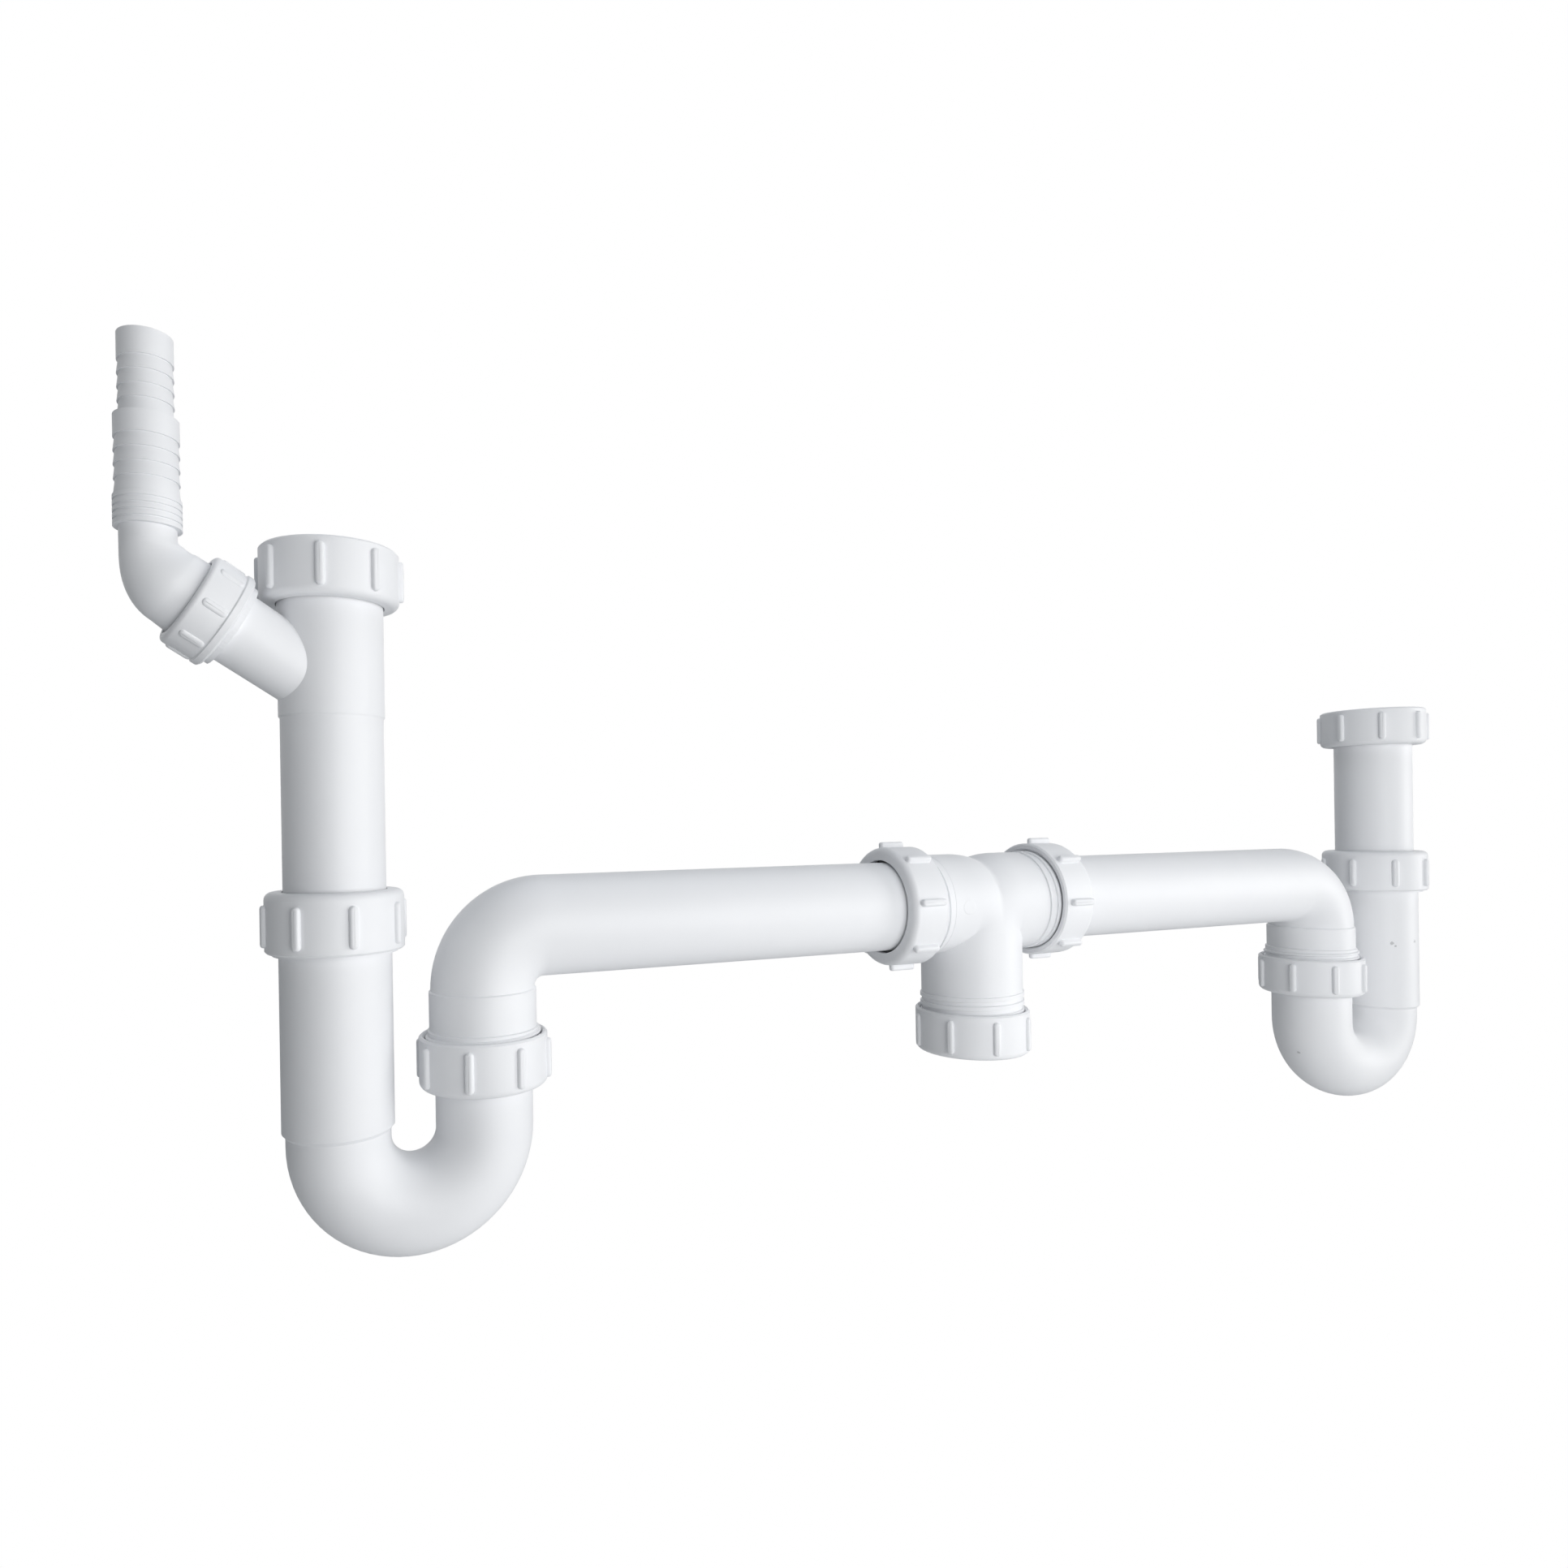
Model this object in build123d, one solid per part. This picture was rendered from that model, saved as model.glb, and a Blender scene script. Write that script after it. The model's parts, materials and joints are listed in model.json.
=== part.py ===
from build123d import *
import os
from math import cos, radians, tan

# Double bowl sink trap: a tubular U-bend trap under each bowl, joined by two arms and a double-swept
# tee to one outlet. The left inlet has a side branch with a nozzle for an appliance hose.
# Millimetres, +Z up. The origin is on the outlet's axis, where the bore of the outlet socket meets the
# seat of its seal. +X runs along the arms towards the right-hand trap, and -Y is the front.

# Layout
RISER_X = 250.2           # outlet axis to each riser's axis
TRAP_SPAN = 58.2          # riser axis to inlet axis
ARM_HEIGHT = 66.3         # arms' axis above the origin
LEFT_INLET_RISE = 152.0   # top of the left inlet nut above the arms' axis
RIGHT_INLET_RISE = 105.0  # top of the right inlet nut above the arms' axis

# Tubes
PIPE_R = 21.5             # arms, outside
PIPE_WALL = 2.2
TUBE_R = 19.65            # telescopic inlet tubes, outside
TUBE_WALL = 2.0
BRANCH_TUBE_R = 20.2      # left inlet tube above its seam, outside
BEND_R = 20.1             # U-bends, outside
BEND_WALL = 2.2
SOCKET_WALL = 1.6         # wall of a U-bend's telescopic socket
PIPE_GAP = 0.3            # pipe or tube to the bore of its socket

# Threaded joints of the inch-and-a-half size
THREAD_R = 23.9           # male threads of the traps, over their crests
TEE_THREAD_R = 25.2       # male threads of the tee, over their crests
NUT_GAP = 0.3             # thread to the bore of its nut
HOLE_GAP = 0.5            # tube to the hole in a nut's closed end
TURN_GAP = 0.25           # end play that lets a nut turn
NUT_FLOOR = 3.0           # closed end of a nut
NUT_ROUND = 3.0           # rounding of a nut's closed end
NUT_LIP = 0.8             # chamfer of a nut's open end
NUT_RELIEF = 0.4          # groove at the inner end of a nut's thread
RIB_COUNT = 8
RIB_WIDTH = 3.4
RIB_INSET = 2.6           # rib's ends to the ends of the nut
RIB_SINK = 1.0            # rib's root inside the nut's wall
UNION_NUT_R = 26.6        # nuts of the traps, between ribs
UNION_RIB_R = 28.4        # the same nuts over their ribs
UNION_NUT_LENGTH = 21.6
SLIP_CROWN = 2.0          # extra height of a slip nut's closed end, above its ribs
OUTLET_NUT_R = 27.7       # nut of the tee's outlet, between ribs
OUTLET_RIB_R = 29.3       # the same nut over its ribs
RUN_NUT_R = 28.9          # nuts of the tee's two run sockets, between ribs
RUN_RIB_R = 31.6          # the same nuts over their ribs
RUN_NUT_LENGTH = 18.8
FLANGE_R = 23.4           # flange that a nut holds
FLANGE_THICKNESS = 3.0
WASHER_GAP = 0.3          # flat washers and seals to the crests of the thread beside them
WASHER_THICKNESS = 2.5
RING_THICKNESS = 1.5      # hard ring between a nut and its seal
SEAL_STAND = 2.5          # part of a seal outside its socket
SEAT_DEPTH = 1.5          # conical seat in the mouth of a socket
SEAL_GAP = 0.1            # seal to the tube that it wipes

# U-bend and telescopic socket, heights from the arms' axis
SLIP_NUT_TOP = 18.3
SLIP_THREAD_LENGTH = 17.4
SHOULDER_DROP = 75.7      # step from socket to U-bend
SHOULDER_SLOPE = 1.6
BEND_DROP = 81.3          # centre of the U
TUBE_INSERTION = 34.0     # inlet tube inside its socket

# Riser joint and elbow of an arm
ELBOW_R = 25.0            # centre line of the elbow
COLLAR_R = 22.2           # plain collar under the elbow
COLLAR_LENGTH = 12.5
COLLAR_SLOPE = 1.2
RISER_NUT_DROP = 65.0     # underside of the riser nut below the arms' axis

# Tee
TEE_R = 24.6              # sweeps and outlet, outside
TEE_WALL = 3.5
SWEEP_R = 13.5            # centre line of each sweep
RUN_NUT_END = 54.0        # outlet axis to the far end of a run nut
RUN_STOP = 24.0           # outlet axis to the stop in a run socket
RUN_BAND = 19.0           # run socket's outer band, from its mouth
ARM_INSERTION = 16.8      # arm inside its socket
OUTLET_STOP = 20.3        # origin to the stop in the outlet socket
OUTLET_THREAD_LENGTH = 22.1

# Hose branch on the left inlet, and its nozzle
BRANCH_PITCH = 30.0       # degrees above the horizontal
BRANCH_YAW = 198.0        # degrees about +Z, from +X
BRANCH_RISE = 97.0        # branch axis on the inlet axis, above the arms' axis
BRANCH_R = 14.0
BRANCH_BORE_R = 11.0
SEAM_RISE = 85.9          # seam under the branch, above the arms' axis
SEAM_SLOPE = 0.8
HOSE_THREAD_R = 16.6      # one-inch thread of the branch
HOSE_THREAD_LENGTH = 10.0
HOSE_NUT_END = 61.0       # inlet axis to the closed end of the nozzle nut, along the branch
HOSE_NUT_LENGTH = 15.5
HOSE_NUT_R = 18.5
HOSE_RIB_R = 19.2
HOSE_FLANGE_R = 16.3
HOSE_FLANGE_THICKNESS = 2.5
HOSE_SEAL_THICKNESS = 2.0
TAIL_REACH = 65.3         # inlet axis to the nozzle's tail, in plan
TAIL_R = 9.4              # plain tail over the elbow
TAIL_BORE_R = 6.8
TAIL_BEND_R = 15.5        # centre line of the nozzle's elbow
TAIL_BEND_SECTIONS = 4
ELBOW_END_R = 14.0        # nozzle at the end of its elbow
ELBOW_MOUTH_R = 14.6      # nozzle where it enters its nut
ELBOW_WALL = 3.0
HOSE_BAND_R = 11.2        # threaded band between the barbs and the plain tail
HOSE_BAND_LENGTH = 11.4
LARGE_BARB_R = 10.7
LARGE_COLLAR_LENGTH = 7.6
SMALL_BARB_R = 9.2
SMALL_COLLAR_LENGTH = 9.2
BARB_PITCH = 4.95
BARB_DEPTH = 0.6
BARB_COUNT = 4            # barbs of each size
TAIL_TOP_RISE = 217.8     # top of the nozzle above the arms' axis
TAIL_ROUND = 0.9

# Degrees from the local X axis to the first rib of each nut
RIB_TURNS = {
    "left_inlet_nut": 35.0,
    "left_slip_nut": 34.0,
    "left_riser_nut": 22.0,
    "right_inlet_nut": 43.0,
    "right_slip_nut": 35.0,
    "right_riser_nut": 16.0,
    "outlet_nut": 30.0,
    "left_tee_nut": 38.0,
    "right_tee_nut": 0.0,
    "nozzle_nut": 10.0,
}

# Sizes that follow from those above
PIPE_BORE_R = PIPE_R - PIPE_WALL
TUBE_BORE_R = TUBE_R - TUBE_WALL
BEND_BORE_R = BEND_R - BEND_WALL
SOCKET_BORE_R = TUBE_R + PIPE_GAP
SOCKET_R = SOCKET_BORE_R + SOCKET_WALL
TEE_BORE_R = TEE_R - TEE_WALL
RUN_BORE_R = PIPE_R + PIPE_GAP
SEAL_START = NUT_FLOOR + TURN_GAP + RING_THICKNESS   # from a nut's closed end
MOUTH = SEAL_START + SEAL_STAND                      # socket's mouth, from a nut's closed end
FLANGE_START = NUT_FLOOR + TURN_GAP
FLANGE_END = FLANGE_START + FLANGE_THICKNESS
WASHER_END = FLANGE_END + WASHER_THICKNESS
COLLAR_TOP = ARM_HEIGHT - ELBOW_R
THREAD_TOP = COLLAR_TOP - COLLAR_LENGTH


def turned(*outline):
    """Solid of revolution about Z from an outline of (radius, height) points."""
    return revolve(Plane.XZ * make_face(Polyline(*outline, close=True)), Axis.Z)


def tube(outer_r, inner_r, start, end):
    """Plain ring or tube about Z between two heights."""
    return turned((inner_r, start), (outer_r, start), (outer_r, end), (inner_r, end))


def annulus(outer_r, inner_r):
    """Cross-section of a pipe."""
    return Circle(outer_r) - Circle(inner_r)


def nut(node, hole_r, thread_r, thread_start, body_r, rib_r, length, crown=0):
    """Ribbed nut, standing on its closed end, whose ribs start above a plain crown."""
    bore_r = thread_r + NUT_GAP
    body = turned(
        (hole_r, 0),
        (body_r, 0),
        (body_r, length),
        (bore_r, length),
        (bore_r, thread_start),
        (bore_r + NUT_RELIEF, thread_start),
        (bore_r + NUT_RELIEF, NUT_FLOOR),
        (hole_r, NUT_FLOOR),
    )
    rims = body.edges().filter_by(GeomType.CIRCLE).sort_by(SortBy.RADIUS)[-2:].sort_by(Axis.Z)
    body = fillet(rims[0], NUT_ROUND)
    rim = body.edges().filter_by(GeomType.CIRCLE).group_by(Axis.Z)[-1].sort_by(SortBy.RADIUS)[-1]
    body = chamfer(rim, NUT_LIP)
    rib_plane = Plane.YZ.offset(body_r - RIB_SINK)
    rib_length = length - crown - 2 * RIB_INSET
    rib_face = rib_plane * Pos(0, (length + crown) / 2) * SlotOverall(rib_length, RIB_WIDTH, rotation=90)
    rib = extrude(rib_face, rib_r - body_r + RIB_SINK)
    step = 360 / RIB_COUNT
    return body + [Rot(0, 0, RIB_TURNS[node] + step * i) * rib for i in range(RIB_COUNT)]


def slip_joint(nut_name, tube_r, thread_r, body_r, rib_r, length, crown=0):
    """Nut, hard ring and tapered seal that grip a plain tube, from the nut's closed end upwards."""
    inner_r = tube_r + SEAL_GAP
    outer_r = thread_r - WASHER_GAP
    seat_r = tube_r + PIPE_GAP + SEAT_DEPTH
    ring = tube(outer_r, inner_r, FLANGE_START, SEAL_START)
    seal = turned(
        (inner_r, SEAL_START),
        (outer_r, SEAL_START),
        (outer_r, MOUTH),
        (seat_r - 2 * SEAL_GAP, MOUTH),
        (inner_r + SEAL_GAP, MOUTH + SEAT_DEPTH - SEAL_GAP),
        (inner_r, MOUTH + SEAT_DEPTH - SEAL_GAP),
    )
    held = nut(nut_name, tube_r + HOLE_GAP, thread_r, MOUTH, body_r, rib_r, length, crown)
    return held, ring, seal


def union_joint(nut_name, tube_r, bore_r):
    """Nut that holds a flanged tube, and the flat washer on the flange, from the closed end upwards."""
    washer = tube(THREAD_R - WASHER_GAP, bore_r, FLANGE_END, WASHER_END)
    hole_r = tube_r + HOLE_GAP
    held = nut(nut_name, hole_r, THREAD_R, WASHER_END, UNION_NUT_R, UNION_RIB_R, UNION_NUT_LENGTH)
    return held, washer


def u_bend(riser_x, inlet_x):
    """U-bend moulded with its telescopic socket and the flange of its riser."""
    bend_z = ARM_HEIGHT - BEND_DROP
    shoulder = ARM_HEIGHT - SHOULDER_DROP
    mouth = ARM_HEIGHT + SLIP_NUT_TOP - MOUTH
    thread_start = mouth - SLIP_THREAD_LENGTH
    socket = turned(
        (BEND_BORE_R, bend_z),
        (BEND_R, bend_z),
        (BEND_R, shoulder - SHOULDER_SLOPE),
        (SOCKET_R, shoulder),
        (SOCKET_R, thread_start),
        (THREAD_R, thread_start),
        (THREAD_R, mouth),
        (SOCKET_BORE_R + SEAT_DEPTH, mouth),
        (SOCKET_BORE_R, mouth - SEAT_DEPTH),
        (SOCKET_BORE_R, shoulder),
        (BEND_BORE_R, shoulder - SHOULDER_SLOPE),
    )
    flange = ARM_HEIGHT - RISER_NUT_DROP + FLANGE_START
    riser = turned(
        (BEND_BORE_R, bend_z),
        (BEND_R, bend_z),
        (BEND_R, flange),
        (FLANGE_R, flange),
        (FLANGE_R, flange + FLANGE_THICKNESS),
        (BEND_BORE_R, flange + FLANGE_THICKNESS),
    )
    centre = ((riser_x + inlet_x) / 2, 0, bend_z)
    pivot = Axis(centre, (0, 1 if inlet_x > riser_x else -1, 0))
    bend = revolve(Pos(inlet_x, 0, bend_z) * annulus(BEND_R, BEND_BORE_R), pivot, 180)
    return Pos(inlet_x, 0, 0) * socket + bend + Pos(riser_x, 0, 0) * riser


def outlet_arm(riser_x):
    """Arm from a riser's threaded collar, round its elbow and along to the tee."""
    towards_tee = -1 if riser_x > 0 else 1
    collar_end = ARM_HEIGHT - RISER_NUT_DROP + WASHER_END
    collar = turned(
        (PIPE_BORE_R, collar_end),
        (THREAD_R, collar_end),
        (THREAD_R, THREAD_TOP),
        (COLLAR_R, THREAD_TOP),
        (COLLAR_R, COLLAR_TOP - COLLAR_SLOPE),
        (PIPE_R, COLLAR_TOP),
        (PIPE_BORE_R, COLLAR_TOP),
    )
    straight_x = riser_x + towards_tee * ELBOW_R
    pivot = Axis((straight_x, 0, COLLAR_TOP), (0, towards_tee, 0))
    elbow = revolve(Pos(riser_x, 0, COLLAR_TOP) * annulus(PIPE_R, PIPE_BORE_R), pivot, 90)
    run_mouth = RUN_NUT_END - MOUTH
    run = abs(straight_x) - run_mouth + ARM_INSERTION
    start = Plane((straight_x, 0, ARM_HEIGHT), x_dir=(0, 1, 0), z_dir=(towards_tee, 0, 0))
    return Pos(riser_x, 0, 0) * collar + elbow + extrude(start * annulus(PIPE_R, PIPE_BORE_R), run)


def sweep_half(radius):
    """Left half of the tee's two merging sweeps: a rounded heel over a mitred inner corner."""
    start = Plane((-SWEEP_R, 0, ARM_HEIGHT), x_dir=(0, 1, 0), z_dir=(1, 0, 0))
    pivot = Axis((-SWEEP_R, 0, ARM_HEIGHT - SWEEP_R), (0, 1, 0))
    above_pivot = Pos(0, (radius - SWEEP_R) / 2) * Rectangle(2 * radius, radius + SWEEP_R)
    sweep = revolve(start * (Circle(radius) & above_pivot), pivot, 90)
    reach = 4 * (SWEEP_R + radius)
    return sweep & Pos(-reach / 2, 0, ARM_HEIGHT) * Box(reach, reach, reach)


def swept_tee():
    """Double-swept tee: two run sockets whose sweeps merge into one outlet."""
    run_mouth = RUN_NUT_END - MOUTH
    outlet_mouth = -SEAT_DEPTH
    sweep_end = ARM_HEIGHT - SWEEP_R
    run_body = turned(
        (0, SWEEP_R),
        (TEE_R, SWEEP_R),
        (TEE_R, run_mouth - RUN_BAND),
        (TEE_THREAD_R, run_mouth - RUN_BAND),
        (TEE_THREAD_R, run_mouth),
        (0, run_mouth),
    )
    run_bore = turned(
        (0, SWEEP_R),
        (TEE_BORE_R, SWEEP_R),
        (TEE_BORE_R, RUN_STOP),
        (RUN_BORE_R, RUN_STOP),
        (RUN_BORE_R, run_mouth - SEAT_DEPTH),
        (RUN_BORE_R + SEAT_DEPTH, run_mouth),
        (0, run_mouth),
    )
    outlet_body = turned(
        (0, sweep_end),
        (TEE_R, sweep_end),
        (TEE_R, outlet_mouth + OUTLET_THREAD_LENGTH),
        (TEE_THREAD_R, outlet_mouth + OUTLET_THREAD_LENGTH),
        (TEE_THREAD_R, outlet_mouth),
        (0, outlet_mouth),
    )
    outlet_bore = turned(
        (0, sweep_end),
        (TEE_BORE_R, sweep_end),
        (TEE_BORE_R, OUTLET_STOP),
        (RUN_BORE_R, OUTLET_STOP),
        (RUN_BORE_R, 0),
        (RUN_BORE_R + SEAT_DEPTH, outlet_mouth),
        (0, outlet_mouth),
    )
    left = Plane((0, 0, ARM_HEIGHT), x_dir=(0, 1, 0), z_dir=(-1, 0, 0))
    half_body = sweep_half(TEE_R) + left * run_body
    half_bore = sweep_half(TEE_BORE_R) + left * run_bore
    body = half_body + mirror(half_body, Plane.YZ) + outlet_body
    bore = half_bore + mirror(half_bore, Plane.YZ) + outlet_bore
    return body - bore


def inlet_tube(inlet_rise, neck_r):
    """Telescopic inlet tube with the flange that its nut holds, as (outside, bore)."""
    nut_base = ARM_HEIGHT + inlet_rise - UNION_NUT_LENGTH
    top = nut_base + FLANGE_END
    end = ARM_HEIGHT + SLIP_NUT_TOP - MOUTH - TUBE_INSERTION
    seam = ARM_HEIGHT + SEAM_RISE
    neck = [(TUBE_R, seam), (neck_r, seam + SEAM_SLOPE)] if neck_r > TUBE_R else []
    outside = turned(
        (0, end),
        (TUBE_R, end),
        *neck,
        (neck_r, nut_base + FLANGE_START),
        (FLANGE_R, nut_base + FLANGE_START),
        (FLANGE_R, top),
        (0, top),
    )
    bore = turned((0, end), (TUBE_BORE_R, end), (TUBE_BORE_R, top), (0, top))
    return outside, bore


def branch_frame(distance, inward=False):
    """Plane across the branch at a distance from the inlet axis, with its normal outwards or inwards."""
    outward = Vector(1, 0, 0).rotate(Axis.Y, -BRANCH_PITCH)
    origin = Vector(0, 0, ARM_HEIGHT + BRANCH_RISE) + outward * distance
    return Plane(origin, x_dir=(0, 1, 0), z_dir=-outward if inward else outward)


def tail_elbow(foot, start_r, end_r):
    """Elbow from the foot of the nozzle's tail round to the branch's direction, widening as it goes."""
    centre = Pos(foot) * Pos(-TAIL_BEND_R, 0, 0)
    sections = []
    for i in range(TAIL_BEND_SECTIONS + 1):
        share = i / TAIL_BEND_SECTIONS
        turn = Rot(0, (90 - BRANCH_PITCH) * share, 0)
        sections.append(centre * turn * Pos(TAIL_BEND_R, 0, 0) * Circle(start_r + (end_r - start_r) * share))
    return loft(sections)


def hose_nozzle(flange_start):
    """Nozzle for an appliance hose: flange, elbow and barbed tail, with the inlet axis at X = 0."""
    corner_distance = TAIL_REACH / cos(radians(BRANCH_PITCH))
    tangent = TAIL_BEND_R * tan(radians(90 - BRANCH_PITCH) / 2)
    foot = branch_frame(corner_distance).origin + Vector(0, 0, tangent)
    flange_end = flange_start + HOSE_FLANGE_THICKNESS
    elbow_end = HOSE_NUT_END - corner_distance + tangent
    neck = turned(
        (0, elbow_end),
        (ELBOW_END_R, elbow_end),
        (ELBOW_MOUTH_R, 0),
        (ELBOW_MOUTH_R, flange_start),
        (HOSE_FLANGE_R, flange_start),
        (HOSE_FLANGE_R, flange_end),
        (0, flange_end),
    )
    neck_bore = turned(
        (0, elbow_end),
        (ELBOW_END_R - ELBOW_WALL, elbow_end),
        (BRANCH_BORE_R, flange_start),
        (BRANCH_BORE_R, flange_end),
        (0, flange_end),
    )
    top = ARM_HEIGHT + TAIL_TOP_RISE
    barbs_start = top - SMALL_COLLAR_LENGTH - LARGE_COLLAR_LENGTH - 2 * BARB_COUNT * BARB_PITCH
    band_start = barbs_start - HOSE_BAND_LENGTH
    outline = [
        (0, foot.Z),
        (TAIL_R, foot.Z),
        (TAIL_R, band_start),
        (HOSE_BAND_R, band_start),
        (HOSE_BAND_R, barbs_start),
    ]
    level = barbs_start
    for barb_r, collar in ((LARGE_BARB_R, LARGE_COLLAR_LENGTH), (SMALL_BARB_R, SMALL_COLLAR_LENGTH)):
        for _ in range(BARB_COUNT):
            outline += [(barb_r, level), (barb_r - BARB_DEPTH, level + BARB_PITCH)]
            level += BARB_PITCH
        outline += [(barb_r, level), (barb_r, level + collar - TAIL_ROUND)]
        level += collar
    outline += [(SMALL_BARB_R - TAIL_ROUND, level), (0, level)]
    tail = Pos(foot.X, 0, 0) * turned(*outline)
    tail_bore = Pos(foot) * Cylinder(TAIL_BORE_R, top - foot.Z, align=(Align.CENTER, Align.CENTER, Align.MIN))
    frame = branch_frame(HOSE_NUT_END, inward=True)
    outside = frame * neck + tail_elbow(foot, TAIL_R, ELBOW_END_R) + tail
    bore = frame * neck_bore + tail_elbow(foot, TAIL_BORE_R, ELBOW_END_R - ELBOW_WALL) + tail_bore
    return outside - bore


def trap(side, riser_x, inlet_rise, neck_r, inlet):
    """Pieces of one trap, from its inlet nut to its arm."""
    outwards = -1 if riser_x < 0 else 1
    inlet_x = riser_x + outwards * TRAP_SPAN
    inlet_nut, inlet_washer = union_joint(f"{side}_inlet_nut", neck_r, TUBE_BORE_R)
    inlet_base = Pos(inlet_x, 0, ARM_HEIGHT + inlet_rise - UNION_NUT_LENGTH)
    slip_length = UNION_NUT_LENGTH + SLIP_CROWN
    slip_name = f"{side}_slip_nut"
    slip = slip_joint(slip_name, TUBE_R, THREAD_R, UNION_NUT_R, UNION_RIB_R, slip_length, SLIP_CROWN)
    slip_top = Plane((inlet_x, 0, ARM_HEIGHT + SLIP_NUT_TOP), x_dir=(1, 0, 0), z_dir=(0, 0, -1))
    riser_nut, riser_washer = union_joint(f"{side}_riser_nut", BEND_R, BEND_BORE_R)
    riser_base = Pos(riser_x, 0, ARM_HEIGHT - RISER_NUT_DROP)
    return {
        f"{side}_inlet_nut": inlet_base * inlet_nut,
        f"{side}_inlet_washer": inlet_base * inlet_washer,
        f"{side}_inlet_tube": Pos(inlet_x, 0, 0) * inlet,
        slip_name: slip_top * slip[0],
        f"{side}_slip_ring": slip_top * slip[1],
        f"{side}_slip_seal": slip_top * slip[2],
        f"{side}_u_bend": u_bend(riser_x, inlet_x),
        f"{side}_riser_nut": riser_base * riser_nut,
        f"{side}_riser_washer": riser_base * riser_washer,
        f"{side}_outlet_arm": outlet_arm(riser_x),
    }


def hose_connection():
    """Branch tube and bore of the left inlet, and the nozzle with its nut and seal."""
    flange_start = FLANGE_START
    seal_start = flange_start + HOSE_FLANGE_THICKNESS
    thread_start = seal_start + HOSE_SEAL_THICKNESS
    branch_end = HOSE_NUT_END - thread_start
    branch = turned(
        (0, 0),
        (BRANCH_R, 0),
        (BRANCH_R, branch_end - HOSE_THREAD_LENGTH),
        (HOSE_THREAD_R, branch_end - HOSE_THREAD_LENGTH),
        (HOSE_THREAD_R, branch_end),
        (0, branch_end),
    )
    branch_bore = turned((0, 0), (BRANCH_BORE_R, 0), (BRANCH_BORE_R, branch_end), (0, branch_end))
    nut_frame = branch_frame(HOSE_NUT_END, inward=True)
    hole_r = ELBOW_MOUTH_R + HOLE_GAP
    nozzle_nut = nut(
        "nozzle_nut", hole_r, HOSE_THREAD_R, thread_start, HOSE_NUT_R, HOSE_RIB_R, HOSE_NUT_LENGTH
    )
    seal = tube(HOSE_FLANGE_R, BRANCH_BORE_R, seal_start, thread_start)
    pieces = {
        "nozzle_nut": nut_frame * nozzle_nut,
        "nozzle_seal": nut_frame * seal,
        "hose_nozzle": hose_nozzle(flange_start),
    }
    return branch_frame(0) * branch, branch_frame(0) * branch_bore, pieces


def tee_joint(name, place):
    """Nut, ring and seal of one of the tee's sockets."""
    body_r, rib_r, length = RUN_NUT_R, RUN_RIB_R, RUN_NUT_LENGTH
    nut_name = f"{name}_tee_nut"
    if name == "outlet":
        body_r, rib_r, length = OUTLET_NUT_R, OUTLET_RIB_R, UNION_NUT_LENGTH
        nut_name = "outlet_nut"
    held, ring, seal = slip_joint(nut_name, PIPE_R, TEE_THREAD_R, body_r, rib_r, length)
    prefix = nut_name.removesuffix("_nut")
    return {nut_name: place * held, f"{prefix}_ring": place * ring, f"{prefix}_seal": place * seal}


def sink_trap():
    """Every piece of the sink trap, by name."""
    branch, branch_bore, hose_pieces = hose_connection()
    turn = Rot(0, 0, BRANCH_YAW)
    left_x = -RISER_X - TRAP_SPAN
    outside, bore = inlet_tube(LEFT_INLET_RISE, BRANCH_TUBE_R)
    left_inlet = outside + turn * branch - bore - turn * branch_bore
    outside, bore = inlet_tube(RIGHT_INLET_RISE, TUBE_R)
    right_inlet = outside - bore
    pieces = trap("left", -RISER_X, LEFT_INLET_RISE, BRANCH_TUBE_R, left_inlet)
    pieces |= trap("right", RISER_X, RIGHT_INLET_RISE, TUBE_R, right_inlet)
    pieces |= {node: Pos(left_x, 0, 0) * turn * shape for node, shape in hose_pieces.items()}
    pieces["tee"] = swept_tee()
    arm_axis = ARM_HEIGHT
    pieces |= tee_joint("left", Plane((-RUN_NUT_END, 0, arm_axis), x_dir=(0, 1, 0), z_dir=(1, 0, 0)))
    pieces |= tee_joint("right", Plane((RUN_NUT_END, 0, arm_axis), x_dir=(0, 1, 0), z_dir=(-1, 0, 0)))
    pieces |= tee_joint("outlet", Pos(0, 0, -SEAT_DEPTH - MOUTH))
    return pieces


os.makedirs("parts", exist_ok=True)
for node_name, piece in sink_trap().items():
    export_step(piece, f"parts/{node_name}.step")
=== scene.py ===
# %% [markdown]
# # Double bowl sink trap
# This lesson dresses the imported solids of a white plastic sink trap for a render. The solids are the frame:
# they say where each piece is and which body it moves with. Each cell rebuilds one kind of piece with its
# threads and ribs, gives it a finish, and hands it to the body that it rides on.

# %% Load the frame
import json
import math

import bmesh
import bpy
from mathutils import Matrix, Vector


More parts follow.
